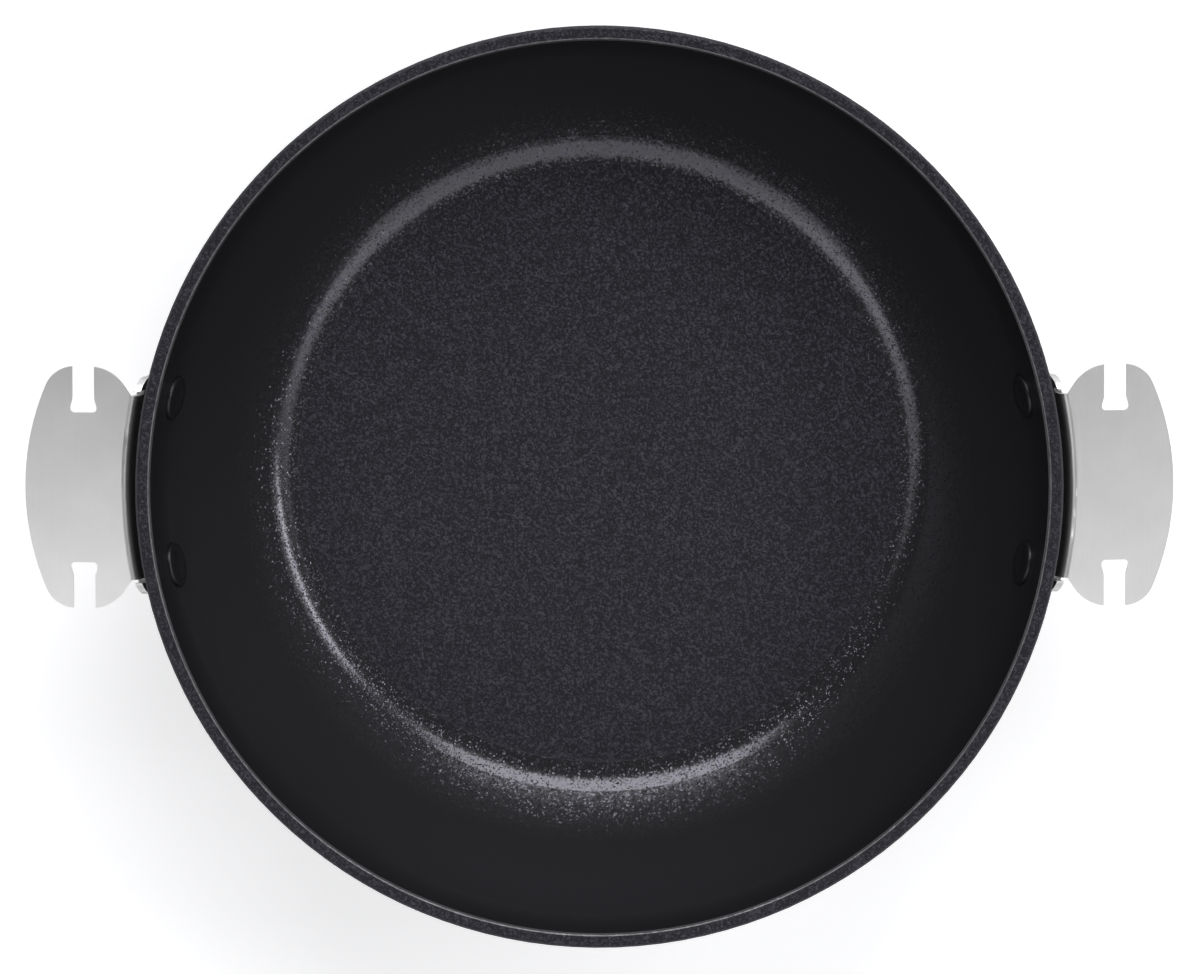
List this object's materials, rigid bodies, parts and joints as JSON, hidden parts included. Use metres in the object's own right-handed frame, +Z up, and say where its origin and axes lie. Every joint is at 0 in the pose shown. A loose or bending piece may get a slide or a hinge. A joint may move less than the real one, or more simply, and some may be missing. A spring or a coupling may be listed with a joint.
{
  "type": "saute pan",
  "caption": "Round deep non-stick pan with a curved wall, a flat rim and short notched steel side handles riveted on.",
  "frame": {"origin": "middle of the underside, on the surface that the pan stands on", "axes": "+Z up out of the pan's mouth, +X towards the right handle, +Y towards the back"},
  "size_m": [0.347, 0.28, 0.0764],
  "materials": {
    "nonstick_coating": "satin black non-stick with a fine metallic sparkle",
    "base_steel": "turned",
    "handle_steel": "satin",
    "rivet_coating": "satin black"
  },
  "bodies": {
    "root": {"pan_body": "nonstick_coating", "base_disc": "base_steel", "left_handle": "handle_steel", "right_handle": "handle_steel", "rivet_left_front": "rivet_coating", "rivet_left_back": "rivet_coating", "rivet_right_front": "rivet_coating", "rivet_right_back": "rivet_coating"}
  },
  "joints": []
}
